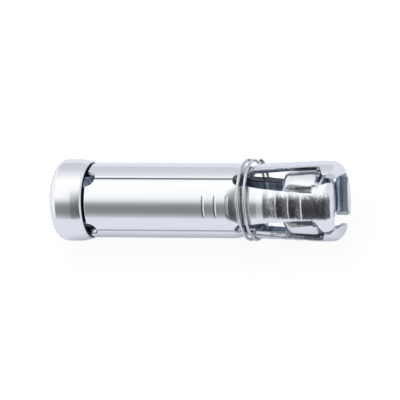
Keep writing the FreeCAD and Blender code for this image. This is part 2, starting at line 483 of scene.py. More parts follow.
@dataclass(frozen=True)
class ZincFinish:
    """Bright zinc plate, with what the sheet's inside, cut edges and ribs show where a mesh has them.

    The clouded share is the plate's tone under its clouds. A bruise runs from its dark to its fleck
    share of the bruise colour, and its depth is the height of the pits in millimetres. The painted
    shade colour is the near-black painted where shade falls, wherever a mesh's painted_shade mask marks
    it.
    """

    name: str
    plate: Colour
    gloss: float
    clouds: float = 0.06
    grain: float = 0.25
    inside: Colour = (0.66, 0.74, 0.84)
    inside_dark: Colour = (0.18, 0.235, 0.34)
    # bruise colour: dark pits, and on the ribbed face also a painted dark reflection
    bruise: Colour = (0.15, 0.15, 0.16)
    # painted shade colour: the near-black painted into recesses, bores and shaded cut edges
    painted_shade_colour: Colour = (0.014, 0.020, 0.034)
    cut: Colour = (0.74, 0.78, 0.82)
    clouded: float = 0.82
    bruise_dark: float = 0.6
    bruise_fleck: float = 1.6
    bruise_depth: float = 0.12
    skin_depth: float = 0.05
    inside_metallic: float = 0.55

    def build(self, skin: bpy.types.NodeTree, bruised: bpy.types.NodeTree) -> bpy.types.Material:
        """Builds the material.

        Args:
            skin: The plated skin group.
            bruised: The bruised metal group.

        Returns:
            The material.
        """
        material = bpy.data.materials.new(self.name)
        graph = blank_graph(material)
        place = graph.add("Mapping", {"Vector": graph.add("TexCoord").outputs["Object"],
                                      "Scale": (1.0 / MM,) * 3}).outputs[0]
        plated = graph.add("Group", node_tree=skin)
        for socket, value in (("Vector", place), ("Clouds", self.clouds), ("Grain", self.grain),
                              ("Gloss", self.gloss)):
            graph.feed(plated, socket, value)
        pits = graph.add("Group", node_tree=bruised)
        # The worked mask: pits and rough cut edges, and on the ribbed face a painted dark reflection too
        worked = graph.mask("worked")
        graph.feed(pits, "Vector", place)
        graph.feed(pits, "Coverage", worked)
        shade = plated.outputs["Shade"]
        plate = graph.blend(shade, opaque(self.plate, self.clouded), opaque(self.plate))
        lengthwise = graph.add("Mapping", {"Vector": place, "Scale": (1.0, 0.06, 0.06)}).outputs[0]
        bands = graph.spread(graph.noise(lengthwise, 0.9, 2.0), 0.42, 0.6)
        blued = graph.blend(bands, opaque(self.inside_dark), opaque(self.inside))
        inner = graph.blend(graph.mask("inside"), plate, blued)
        cut = graph.blend(graph.mask("sheared"), inner, opaque(self.cut))
        dark = pits.outputs["Dark"]
        flecks = graph.spread(pits.outputs["Height"], 0.44, 0.62)
        worn = graph.blend(flecks, opaque(self.bruise, self.bruise_dark),
                           opaque(self.bruise, self.bruise_fleck))
        bruise = graph.blend(dark, cut, worn)
        # Painted shade: the painted_shade mask blends the colour towards the near-black painted shade
        # colour
        colour = graph.blend(graph.mask("painted_shade"), bruise, opaque(self.painted_shade_colour))
        rough = graph.maths("MULTIPLY_ADD", dark, 0.14, plated.outputs["Roughness"])
        bump_height = graph.maths("MULTIPLY", pits.outputs["Height"], worked)
        fine = graph.add("Bump", {"Strength": 0.10, "Distance": self.skin_depth * MM,
                                  "Height": plated.outputs["Height"]})
        coarse = graph.add("Bump", {"Strength": 0.7, "Distance": self.bruise_depth * MM,
                                    "Height": bump_height, "Normal": fine.outputs[0]})
        metallic = graph.spread(graph.mask("inside"), 0.0, 1.0, 1.0, self.inside_metallic)
        shader = graph.add("BsdfPrincipled", {"Base Color": colour, "Metallic": metallic,
                                              "Roughness": rough, "Normal": coarse.outputs[0]})
        graph.add("OutputMaterial", {"Surface": shader.outputs[0]})
        return material


@dataclass
class Cap:
    """The pressed cup that holds the segments' heels, with its crimped band and turned-in rim."""

    length: float
    radius: float
    finish: ZincFinish
    wall: float = 0.6
    corner: float = 1.8
    hole: float = 5.25
    crimp_start: float = 4.6
    crimp_drop: float = 0.3
    crimp_half: float = 0.15
    crimp_step: float = 0.02
    lip: float = 0.7
    hole_edge: float = 0.08
    band_ease: float = 0.25
    band_end: float = 0.35
    band_fade: float = 0.3
    band_worked: float = 0.3
    steps: int = 224

    def profile(self) -> np.ndarray:
        """The cup in section, as a closed line of (x, r) points.

        Returns:
            Outer corner arc, straight wall, sloping crimp, lip arc, and the same lines inside.
        """
        corner_r = self.radius - self.corner
        lip_x = self.length - self.lip
        lip_r = self.radius - self.crimp_drop - self.lip
        edge = self.hole_edge
        inner = self.radius - self.wall
        outside = [arc_points((self.corner, corner_r), self.corner, 180.0, 90.0, 22),
                   np.array([[self.crimp_start - self.crimp_half, self.radius],
                             [self.crimp_start + self.crimp_half, self.radius - self.crimp_step]]),
                   arc_points((lip_x, lip_r), self.lip, 84.0, 0.0, 16),
                   arc_points((self.length - self.wall / 2, lip_r), self.wall / 2, 0.0, -180.0, 9)[1:]]
        inside = [np.array([[self.crimp_start, inner], [self.corner, inner]]),
                  arc_points((self.corner, corner_r), self.corner - self.wall, 90.0, 180.0, 8),
                  np.array([[self.wall, self.hole + edge], [self.wall - edge, self.hole],
                            [edge, self.hole], [0.0, self.hole + edge]])]
        return np.concatenate(outside + inside)

    def masks(self, points: np.ndarray) -> dict[str, np.ndarray]:
        """The numbers per point that the finish reads.

        Args:
            points: The cap's points.

        Returns:
            Masks named worked, on the crimped band, and inside and painted_shade, on the cup's inner wall,
            which painted shade darkens.
        """
        x = points[:, 0]
        radius = np.hypot(points[:, 1], points[:, 2])
        band = plateau(x, self.crimp_start, self.band_ease, self.length - self.band_end, self.band_fade)
        inner = (radius < self.radius - self.wall + 0.01) & (x > self.wall - 0.02)
        # The cup's inner wall takes the blued inside and painted shade
        inner_wall = 1.0 * inner
        return {"worked": self.band_worked * band * ~inner, "inside": inner_wall, "painted_shade": inner_wall}

    def build(self) -> None:
        """Makes the cap and puts it on its body."""
        points, quads = turned_ring(self.profile(), self.steps)
        piece = make_piece("cap_shell", points, quads, self.masks(points))
        piece.data.materials.append(Workshop.material(self.finish))
        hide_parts("cap")
        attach(piece, "cap")


@dataclass
class ShellSegment:
    """One pressed segment of the shell: heel, body, ring groove, ribbed neck and curled foot.

    It is worked out with its middle on +Z and then turned to its side. A row of the grid is a
    closed line round the sheet, and rows follow each other from the heel to the tip of the foot.
    """

    tip: float
    heel: float
    finish: ZincFinish
    sheet: float = 1.25
    shoulder: float = 7.2
    groove_start: float = 37.2
    shoulder_round: float = 0.25
    front_radius: float = 6.8
    body_radius: float = 7.3
    groove_lead: float = 1.0
    groove_half_angle: float = 46.0
    groove_fade: float = 34.0
    groove_ramp: float = 1.1
    groove_floor: float = 2.45
    groove_end_ramp: float = 0.4
    groove_length: float = 4.2
    groove_depth: float = 0.55
    neck_length: float = 11.6
    neck_rise: float = 0.5
    foot_radius: float = 7.75
    foot_bend: float = 1.6
    foot_end: float = 4.85
    slit_half: float = 0.08
    relief: float = 1.7
    front_relief: float = 7.3
    fine_from: float = 30.6
    root_offset: float = 1.75
    root_hole: float = 1.55
    root_ease: float = 1.5
    slot_straight: float = 2.0
    slot_bulge: float = 0.2
    rib_first: float = 1.5
    rib_pitch: float = 2.6
    rib_count: int = 4
    rib_height: float = 0.14
    rib_half_angle: float = 33.0
    rib_fade: float = 12.0
    mark_pitch: float = 2.44
    mark_count: int = 3
    mark_last: float = 0.6
    mark_width: float = 0.16
    mark_depth: float = 0.08
    mark_half_angle: float = 19.0
    mark_fade: float = 7.0
    edge: float = 0.22
    tip_round: float = 0.35
    across: int = 57
    traces: Traces = Traces()

    def __post_init__(self) -> None:
        """Works out the places along the axis that follow from the sizes."""
        self.root_relief = self.groove_start + self.root_offset
        self.floor = self.groove_start + self.groove_ramp
        self.neck = self.floor + self.groove_length
        self.neck_end = self.neck + self.neck_length
        self.bend = self.tip - self.foot_bend
        self.tip_height = self.foot_radius - self.foot_bend
        self.foot_flat = self.tip_height - self.foot_end

    def groove(self, x: np.ndarray, around: np.ndarray, at_side: float) -> np.ndarray:
        """The ring groove's depth: eased steps along the axis, fading towards both seams.

        Args:
            x: Places along the axis.
            around: Angles round the axis in degrees, from the segment's middle.
            at_side: The share of the depth that is left at the seams.

        Returns:
            The depths.
        """
        middle = smooth_step((self.groove_half_angle - np.abs(around)) / self.groove_fade)
        lead_in = self.groove_start - self.groove_lead * middle
        into = np.clip((x - lead_in) / (self.floor - lead_in), 0.0, 1.0) ** 1.6
        out_of = smooth_step((x - self.floor - self.groove_floor) / self.groove_end_ramp)
        share = at_side + (1.0 - at_side) * middle
        return self.groove_depth * share * (into - out_of)

    def outer_radius(self, x: np.ndarray) -> np.ndarray:
        """The outer radius along the axis without the groove, as straight lines and eased steps.

        Args:
            x: Places along the axis.

        Returns:
            The radii.
        """
        radius = np.where(x < self.shoulder, self.front_radius, self.body_radius)
        rise = np.clip((x - self.neck) / self.neck_length, 0.0, 1.0) * self.neck_rise
        last = self.foot_radius - self.body_radius - self.neck_rise
        settle = smooth_step((x - self.neck_end) / (self.bend - self.neck_end)) * last
        corner = np.clip(self.shoulder + self.shoulder_round - x, 0.0, self.shoulder_round)
        rounding = self.shoulder_round - np.sqrt(self.shoulder_round ** 2 - corner ** 2)
        return radius + rise + settle - np.where(x >= self.shoulder, rounding, 0.0)

    def ribs(self, x: np.ndarray) -> np.ndarray:
        """The height of the ribs: round hollows between sharp crests.

        Between two crests the height is a parabola, from plus to minus the rib height and back.

        Args:
            x: Places along the axis.

        Returns:
            The heights, which fall to 0 at both ends of the ribbed neck.
        """
        place = (x - self.neck - self.rib_first) / self.rib_pitch
        part = place - np.floor(place)
        hollow = self.rib_height * (1.0 - 8.0 * part * (1.0 - part))
        inside = (place >= 0.0) & (place <= self.rib_count - 1)
        lead = self.rib_height * np.clip(1.0 + place * self.rib_pitch / self.rib_first, 0.0, 1.0)
        after = self.neck + self.rib_first + (self.rib_count - 1) * self.rib_pitch
        trail = self.rib_height * np.clip((self.neck_end - x) / (self.neck_end - after), 0.0, 1.0)
        return np.where(inside, hollow, np.where(place < 0.0, lead, trail))

    def half_gap(self, x: np.ndarray, side: SideGap) -> np.ndarray:
        """Half the gap along a seam: the slit, two round reliefs, the widening slot and the foot's gap.

        Args:
            x: Places along the axis.
            side: The widths that this side of the segment has.

        Returns:
            The half gaps.
        """
        front = np.sqrt(np.clip(self.relief ** 2 - (x - self.front_relief) ** 2, 0.0, None))
        root = np.sqrt(np.clip(self.root_hole ** 2 - (x - self.root_relief) ** 2, 0.0, None))
        slot_start = self.root_relief + self.slot_straight
        part = np.clip((x - slot_start) / (self.neck_end - slot_start), 0.0, 1.0)
        opening = side.root - self.root_hole
        first = self.root_hole + opening * smooth_step((x - self.root_relief) / self.root_ease)
        slot = first + (side.end - first) * part + self.slot_bulge * 4.0 * part * (1.0 - part)
        foot = side.foot + (side.tip - side.foot) * np.clip((x - self.bend) / self.foot_bend, 0.0, 1.0)
        after = slot + (foot - slot) * smooth_step((x - self.neck_end) / side.flare)
        gap = np.maximum(np.maximum(front, root), self.slit_half)
        return np.where(x > self.root_relief, np.maximum(after, self.slit_half), gap)

    def stations(self) -> tuple[np.ndarray, ...]:
        """The rows' places along the sheet.

        Returns:
            For each row: x, outer radius, curl angle, how far it lies inwards on the foot's flat
            end, and how far it is drawn in at an end of the sheet.
        """
        # Rows stand closest on the reliefs, the pressed lines and the ribs, and a hair before the shoulder
        hair = 0.002
        hole = self.relief * np.cos(np.radians(np.linspace(180.0, 0.0, 25)))
        half_hole = self.root_hole * np.cos(np.radians(np.linspace(180.0, 90.0, 16)))
        places = np.concatenate([
            np.linspace(self.heel + self.edge, self.front_relief - self.relief, 8, endpoint=False),
            self.front_relief + hole,
            [self.shoulder - hair, self.shoulder],
            self.shoulder + np.linspace(0.02, self.shoulder_round, 6),
            np.linspace(self.front_relief + self.relief + 0.3, self.fine_from, 26),
            np.linspace(self.fine_from + 0.2, self.groove_start - 0.02, 92),
            np.linspace(self.groove_start, self.floor, 14),
            self.root_relief + half_hole,
            np.linspace(self.root_relief + 0.15, self.neck - 0.1, 28),
            np.linspace(self.neck, self.bend, 150)])
        places = np.unique(np.round(places, 4))
        curl = np.linspace(0.0, 90.0, 33)[1:]
        rounding = np.radians(np.linspace(0.0, 90.0, 8))
        end = np.concatenate([np.linspace(0.1, self.foot_flat - self.tip_round, 3, endpoint=False),
                              self.foot_flat - self.tip_round * (1.0 - np.sin(rounding))])
        x = np.concatenate([[self.heel], places, np.full(len(curl) + len(end), self.bend)])
        angle = np.concatenate([np.zeros(len(places) + 1), curl, np.full(len(end), 90.0)])
        inward = np.concatenate([np.zeros(len(x) - len(end)), end])
        drawn_in = np.zeros(len(x))
        drawn_in[0] = self.edge
        drawn_in[-len(rounding):] = self.tip_round * (1.0 - np.cos(rounding))
        return x, self.outer_radius(x), np.radians(angle), inward, drawn_in

    def loop(self) -> tuple[np.ndarray, np.ndarray, np.ndarray]:
        """The closed line round the sheet, with rounded corners.

        Returns:
            For each point: its place from side to side (-1 to 1), how far it is drawn in from the
            cut edge, and its depth under the outer face.
        """
        # A cut edge goes round the outer corner, down in three steps and round the inner corner
        face = np.linspace(-1.0, 1.0, self.across)
        turn = np.radians(np.linspace(0.0, 90.0, 5))[1:]
        sheet = self.sheet
        rising, setting = self.edge * (1.0 - np.cos(turn)), self.edge * (1.0 - np.sin(turn))
        cut_in = np.concatenate([setting, [0.0, 0.0, 0.0], rising[:-1]])
        down = np.concatenate([rising, [0.35 * sheet, 0.65 * sheet, sheet - self.edge],
                               sheet - setting[:-1]])
        place = np.concatenate([face, np.ones(len(down)), face[::-1], -np.ones(len(down))])
        on_face = np.full(len(face), self.edge)
        inset = np.concatenate([on_face, cut_in, on_face, cut_in[::-1]])
        depth = np.concatenate([np.zeros(len(face)), down, np.full(len(face), sheet), down[::-1]])
        return place, inset, depth

    def surface(self, wear: Wear) -> tuple[np.ndarray, dict[str, np.ndarray]]:
        """Works out every point of the segment, its middle on +Z.

        A point at side distance y and radius r lies sag = r - root(r r - y y) under its row's top,
        so each row stays on a circle about the axis. Along the curl a row leans over by the curl
        angle about the middle of the bend. Over the foot's flat end it moves to a straight edge.

        Args:
            wear: How this one differs from its neighbours.

        Returns:
            Points in rows, and the masks for the materials.
        """
        x, outer, angle, inward, drawn_in = (values[:, None] for values in self.stations())
        place, inset, depth = (values[None, :] for values in self.loop())
        depth = drawn_in + depth * (self.sheet - 2.0 * drawn_in) / self.sheet
        lean_x, lean_r = np.sin(angle), np.cos(angle)
        own_x = x + (self.foot_bend - depth) * lean_x
        base_r = np.where(angle > 0.0, self.tip_height + self.foot_bend * lean_r, outer)
        radius = base_r - lean_r * depth
        gap = np.where(place < 0.0, self.half_gap(own_x, wear.left), self.half_gap(own_x, wear.right))
        half_angle = math.pi / 4.0 - np.arcsin(gap / radius)
        corner = np.maximum(inset, np.minimum(drawn_in, self.edge))
        side = place * (radius * np.sin(half_angle) - corner)
        around = np.degrees(np.arcsin(side / radius))
        outside = np.clip(1.0 - depth / (0.4 * self.sheet), 0.0, 1.0)
        rib = np.where(angle > 0.0, 0.0, self.ribs(x))
        rib = rib * wear.ribs * smooth_step((self.rib_half_angle - np.abs(around)) / self.rib_fade)
        marks = self.marks(x, around)
        groove = self.groove(x, around, wear.groove_side) * (angle <= 0.0)
        lift = outside * rib - (depth < self.edge) * marks - groove
        sag = radius - np.sqrt(radius ** 2 - side ** 2)
        under = depth - lift
        base_x = x + self.foot_bend * lean_x
        height = base_r - lean_r * under - sag
        height = height + (self.foot_end - height) * inward / self.foot_flat
        points = np.stack([base_x - lean_x * under, side, height], -1)
        return points, self.masks(x, own_x, depth, around, wear)

    def marks(self, x: np.ndarray, around: np.ndarray) -> np.ndarray:
        """The depth of the pressed lines: a bell along the axis for each, ended softly at both sides.

        Args:
            x: Places along the axis.
            around: Angles round the axis in degrees, from the segment's middle.

        Returns:
            The depths.
        """
        total = np.zeros(np.broadcast(x, around).shape)
        window = smooth_step((self.mark_half_angle - np.abs(around)) / self.mark_fade)
        for number in range(self.mark_count):
            middle = self.groove_start - self.mark_last - number * self.mark_pitch
            total = total + self.mark_depth * bell(x - middle, self.mark_width) * window
        return total

    def masks(self, x: np.ndarray, own_x: np.ndarray, depth: np.ndarray, around: np.ndarray,
              wear: Wear) -> dict[str, np.ndarray]:
        """The numbers per point that the finish reads.

        Args:
            x: The rows' places.
            own_x: The points' places along the axis.
            depth: Depths under the outer face.
            around: Angles round the axis in degrees.
            wear: How this one differs from its neighbours.

        Returns:
            Masks named inside, sheared, worked and painted_shade; worked also carries a painted dark
            reflection on the ribbed face.
        """
        traces = self.traces
        flat = np.zeros(np.broadcast(x, around).shape)
        inside = smooth_step((depth - 0.75 * self.sheet) / (0.2 * self.sheet)) + flat
        inside[-1] = np.where(depth[-1] > self.tip_round, 1.0, inside[-1])
        sheared = 1.0 * (depth > 0.2 * self.edge) * (depth < self.sheet - 0.2 * self.edge)
        on_foot = smooth_step((own_x - self.neck_end - traces.foot_start) / traces.foot_ease) * sheared
        inside = np.maximum(inside, traces.foot_inner * on_foot)
        crest_place = (x - self.neck - self.rib_first) / self.rib_pitch
        nearest = np.clip(np.round(crest_place), 0, self.rib_count - 1)
        crest = bell((crest_place - nearest) * self.rib_pitch, traces.crest_width)
        zone = (smooth_step((x - self.neck + traces.bruise_lead) / traces.bruise_ease)
                * smooth_step((self.tip - own_x) / traces.tip_fade))
        window = plateau(around, -traces.bruise_left, traces.bruise_left_fade,
                         traces.bruise_right, traces.bruise_right_fade)
        face = depth < self.edge
        cut_end = self.neck_end + traces.cut_end
        cut_zone = plateau(x, self.neck, traces.cut_ease, cut_end, traces.cut_fade)
        waves = sum(size * np.sin(rate * x) for size, rate in traces.torn_waves)
        waver = traces.torn_depth * self.sheet + waves
        torn = 1.0 - wear.edge_torn * (1.0 - bell(depth - waver, traces.torn_width))
        # Pits on the ribbed face, with a painted dark reflection over them that is strongest on the near
        # segment, and rough cut edges
        worked = (zone * window * (1.0 - traces.crest_clean * crest) * face * wear.face_bruise_and_dark_reflection
                  + sheared * cut_zone * torn * wear.edge_bruise)
        # Painted shade: on the groove floor under the wire ring, in the recess before the shoulder, and on
        # the cut edges along the slot by each segment's edge shade
        ring_end = self.floor + traces.ring_end
        under_ring = plateau(x, self.floor, traces.ring_ease, ring_end, traces.ring_fade)
        ring_shade = (traces.ring_shade_amount * under_ring
                      * smooth_step((traces.ring_half_angle - np.abs(around)) / traces.ring_side_fade))
        edge_zone = plateau(x, self.groove_start, traces.edge_ease, cut_end, traces.cut_fade)
        recess = (x > self.shoulder - traces.heel_shade_length) & (x < self.shoulder)
        painted_shade = 1.0 * recess + ring_shade * face + sheared * wear.edge_shade * edge_zone + flat
        cut = sheared - traces.foot_inner * on_foot
        return {"inside": inside, "sheared": cut + flat, "worked": worked + flat, "painted_shade": painted_shade}

    def faces(self, rows: int, columns: int) -> np.ndarray:
        """Faces along the sheet, and the strips that close its two ends.

        Args:
            rows: Number of rows.
            columns: Number of points in a row.

        Returns:
            The faces, four point numbers each.
        """
        tube = grid_quads(rows, columns, False, True)
        top = np.arange(self.across - 1)
        bottom = columns // 2 + self.across - 1 - top
        strip = np.stack([top, top + 1, bottom - 1, bottom], -1)
        side = np.arange(self.across - 1, columns // 2)
        other = np.arange(columns // 2 + self.across - 1, columns)
        fan = np.stack([np.full(len(side) - 1, side[0]), side[1:], np.append(side[2:], columns // 2),
                        np.full(len(side) - 1, side[0])], -1)
        other_fan = np.stack([np.full(len(other) - 1, other[0]), other[1:], np.append(other[2:], 0),
                              np.full(len(other) - 1, other[0])], -1)
        end = np.concatenate([strip, fan, other_fan])
        return np.concatenate([tube, end[:, ::-1], end + (rows - 1) * columns])

    def build(self, number: int, side: Side, wear: Wear) -> None:
        """Makes one segment and puts it on its body.

        Args:
            number: The segment's number, from 1.
            side: Where it stands round the axis.
            wear: How it differs from its neighbours.
        """
        points, masks = self.surface(wear)
        turn = math.radians(side.value)
        x, y, z = points[..., 0], points[..., 1], points[..., 2]
        turned = np.stack([x, y * math.cos(turn) + z * math.sin(turn),
                           z * math.cos(turn) - y * math.sin(turn)], -1)
        rows, columns = x.shape
        node = f"shell_segment_{number}"
        piece = make_piece(f"pressed_segment_{side.name.lower()}", turned.reshape(-1, 3),
                           self.faces(rows, columns), masks)
        piece.data.materials.append(Workshop.material(self.finish))
        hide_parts(node)
        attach(piece, node)


@dataclass
class WireRing:
    """Two turns of spring wire that keep the segments together, with free ends.

    The squeeze brings the turns together on one side of the axis and apart on the other. The wire is
    darker near both ends, through the painted shade mask, and the darkening is gone at the reach times its
    length.
    """

    groove: float
    finish: ZincFinish
    offset: float = 0.55
    wire: float = 0.6
    radius: float = 7.7
    lift: float = 0.32
    pitch: float = 1.15
    squeeze: float = 0.25
    squeeze_angle: float = 45.0
    turns: float = 2.0
    start_angle: float = -60.0
    dark_ends: float = 0.8
    dark_end_length: float = 2.2
    dark_end_reach: float = 1.4
    dome_height: float = 0.4
    steps: int = 288
    sides: int = 18

    def build(self) -> None:
        """Makes the coil: a circle carried along a helix, closed by small domes at its ends."""
        part = np.linspace(0.0, 1.0, self.steps)
        angle = np.radians(self.start_angle) + 2.0 * math.pi * self.turns * part
        spread = self.squeeze * (2.0 * part - 1.0) * np.cos(angle - math.radians(self.squeeze_angle))
        start = self.groove + self.offset
        centre = np.stack([start + self.pitch * self.turns * part + spread, -self.radius * np.sin(angle),
                           self.lift + self.radius * np.cos(angle)], -1)
        outward = np.stack([np.zeros_like(angle), -np.sin(angle), np.cos(angle)], -1)
        along = np.gradient(centre, axis=0)
        along = along / np.linalg.norm(along, axis=1, keepdims=True)
        third = np.cross(along, outward)
        dome = np.radians(np.array([90.0, 70.0, 45.0, 20.0]))
        size = np.concatenate([np.cos(dome), np.ones(self.steps), np.cos(dome)[::-1]])
        reach = np.concatenate([-np.sin(dome), np.zeros(self.steps), np.sin(dome)[::-1]])
        row = np.clip(np.arange(len(size)) - len(dome), 0, self.steps - 1)
        around = np.linspace(0.0, 2.0 * math.pi, self.sides, endpoint=False)
        section = (outward[row][:, None, :] * np.cos(around)[None, :, None]
                   + third[row][:, None, :] * np.sin(around)[None, :, None])
        half = self.wire / 2.0
        spine = centre[row] + along[row] * (self.dome_height * half * reach)[:, None]
        points = spine[:, None, :] + section * (half * np.maximum(size, 0.02))[:, None, None]
        rows = len(row)
        quads = grid_quads(rows, self.sides, False, True)
        first = np.arange(1, self.sides - 1)
        lid = np.stack([np.zeros_like(first), first, first + 1, np.zeros_like(first)], -1)
        quads = np.concatenate([quads, lid[:, ::-1], lid + (rows - 1) * self.sides])
        from_end = np.minimum(part, 1.0 - part)[row] * 2.0 * math.pi * self.turns * self.radius
        # Darker near both ends, through the painted shade mask
        dark_ends = self.dark_ends * smooth_step(self.dark_end_reach - from_end / self.dark_end_length)
        masks = {"painted_shade": np.repeat(dark_ends, self.sides)}
        piece = make_piece("spring_wire_coil", points.reshape(-1, 3), quads, masks)
        piece.data.materials.append(Workshop.material(self.finish))
        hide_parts("wire_ring")
        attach(piece, "cap")


@dataclass
class ExpanderNut:
    """The tapered nut: rounded nose, four sloping beds, a rear collar and a threaded bore."""

    nose: float
    rear: float
    finish: ZincFinish
    nose_radius: float = 5.3
    nose_length: float = 2.6
    corner_radius: float = 7.1
    bed_height: float = 5.93
    bed_slope: float = 4.0
    collar_radius: float = 6.43
    collar_length: float = 1.25
    collar_half: float = 34.5
    chamfer: float = 0.75
    rear_radius: float = 5.8
    minor: float = 4.25
    mouth: float = 4.8
    thread_pitch: float = 1.5
    thread_depth: float = 0.55
    blend: float = 0.07
    blend_lift: float = 0.015
    edge_step: float = 0.02
    bed_half: float = 33.0
    bed_line: float = 26.5
    bed_line_width: float = 1.3
    # Painted shade on the beds and in the bore
    bed_shade_amount: float = 0.85
    bed_worked: float = 0.3
    bore_shade_amount: float = 0.55
    bore_rows: int = 84
    bed_count: int = 25
    corner_count: int = 19

    def __post_init__(self) -> None:
        """Works out where the rear collar starts."""
        self.wall = self.rear - self.collar_length

    def corner_line(self, x: np.ndarray) -> np.ndarray:
        """The radius through a corner: a rounded nose, a plain band and the rear bevel.

        Args:
            x: Places along the axis.

        Returns:
            The radii.
        """
        rise = self.corner_radius - self.nose_radius
        curve = (self.nose_length ** 2 + rise ** 2) / (2.0 * rise)
        before = np.clip(self.nose + self.nose_length - x, 0.0, None)
        nose = self.corner_radius - curve + np.sqrt(curve ** 2 - before ** 2)
        behind = np.clip((x - self.rear + self.chamfer) / self.chamfer, 0.0, 1.0)
        return nose - behind * (self.corner_radius - self.rear_radius)

    def outside(self) -> tuple[np.ndarray, np.ndarray, np.ndarray]:
        """The outer skin from the nose to the rear face.

        The radius is the smaller of the corner line and the bed's flat, which is its height over
        the cosine of the angle from its middle. Behind the wall the bed is a round collar. The
        smaller of two radii a and b is worked out softly, as half of a + b - root((a - b)^2 + blend^2),
        and lifted a little to make up for the softness.

        Returns:
            x and radius in rows, and the angle of each point round the axis.
        """
        # Rows stand closest at the nose's edge, at the wall and at the rear
        step = self.edge_step
        x = np.concatenate([[self.nose], self.nose + np.array([0.03, 0.09, 0.2]),
                            np.linspace(self.nose + 0.45, self.wall - 0.12, 26),
                            [self.wall - step, self.wall],
                            np.linspace(self.wall + 0.06, self.rear - self.chamfer, 5),
                            np.linspace(self.rear - self.chamfer + 0.08, self.rear, 6)])
        nose_round = np.array([0.22, 0.1, 0.03])
        corner = self.corner_line(x)
        corner[:len(nose_round)] -= nose_round
        bed = self.bed_height - math.tan(math.radians(self.bed_slope)) * (self.wall - x)
        on_collar = x >= self.wall - step / 2.0
        crease = np.degrees(np.arccos(np.clip(bed / corner, -1.0, 1.0)))
        crease = np.where(on_collar, self.collar_half, crease)
        near = np.concatenate([np.linspace(-1.0, -0.9, 4), np.linspace(-0.8, 0.8, self.bed_count - 8),
                               np.linspace(0.9, 1.0, 4)])
        far = np.concatenate([np.linspace(0.0, 0.12, 4), np.linspace(0.22, 0.78, self.corner_count - 8),
                              np.linspace(0.88, 1.0, 4)])[1:-1]
        on_bed = crease[:, None] * near[None, :]
        on_corner = crease[:, None] + (90.0 - 2.0 * crease[:, None]) * far[None, :]
        quarter = np.concatenate([on_bed, on_corner], 1)
        from_bed = np.where(quarter > 45.0, 90.0 - quarter, np.abs(quarter))
        flat = bed[:, None] / np.cos(np.radians(from_bed))
        soft = np.where(from_bed < crease[:, None] + 1e-6, self.collar_radius, self.corner_radius)
        flat = np.where(on_collar[:, None], soft, flat)
        corner = np.broadcast_to(corner[:, None], flat.shape)
        radius = 0.5 * (flat + corner - np.sqrt((flat - corner) ** 2 + self.blend ** 2))
        radius = radius + self.blend_lift
        angle = np.concatenate([quarter + 90.0 * n for n in range(4)], 1)
        return x, np.tile(radius, (1, 4)), angle

    def bore(self, count: int, angle: np.ndarray) -> tuple[np.ndarray, np.ndarray]:
        """The threaded bore from the rear to the nose: a wave that climbs one pitch in a turn.

        The wave's slopes are cut off flat at its crests and roots, and a cone widens both mouths.

        Args:
            count: Number of rows.
            angle: The points' angles in degrees, one row.

        Returns:
            x and radius in rows.
        """
        x = np.linspace(self.rear, self.nose, count)[:, None]
        place = x / self.thread_pitch + angle[None, :] / 360.0
        wave = np.abs(2.0 * (place - np.floor(place)) - 1.0)
        depth = np.clip(1.5 * wave - 0.25, 0.0, 1.0) * self.thread_depth
        from_end = np.minimum(self.rear - x, x - self.nose)
        mouth = np.clip(self.mouth - from_end, self.minor, None)
        return np.broadcast_to(x, depth.shape), np.maximum(self.minor + depth, mouth)

    def masks(self, x: np.ndarray, angle: np.ndarray, skin: int, rear: int,
              nose: int) -> dict[str, np.ndarray]:
        """The numbers per point that the finish reads.

        Args:
            x: The points' places along the axis.
            angle: Their angles from the middle of the first bed, in degrees.
            skin: Number of rows in the outer skin.
            rear: Number of rows in the rear face.
            nose: Number of rows in the nose face.

        Returns:
            Masks named inside, sheared, worked and painted_shade, the last on the shaded beds and in the
            bore.
        """
        row = np.arange(len(x))[:, None]
        flat = np.zeros(x.shape)
        bore = (row > skin + rear + 1) & (row < len(x) - nose)
        from_bed = (angle + 45.0) % 90.0 - 45.0
        bed = (row < skin) & (x < self.wall - self.edge_step / 2.0) & (np.abs(from_bed) < self.bed_half)
        bed = bed * smooth_step(x - self.nose - 0.5 * self.nose_length)
        bed = bed * (1.0 - bell(from_bed - self.bed_line, self.bed_line_width))
        # Painted shade on the beds, less a bright line along each, and in the bore
        painted_shade = bed * self.bed_shade_amount + bore * self.bore_shade_amount
        return {"inside": bore + flat, "sheared": flat, "worked": bed * self.bed_worked + flat,
                "painted_shade": painted_shade + flat}

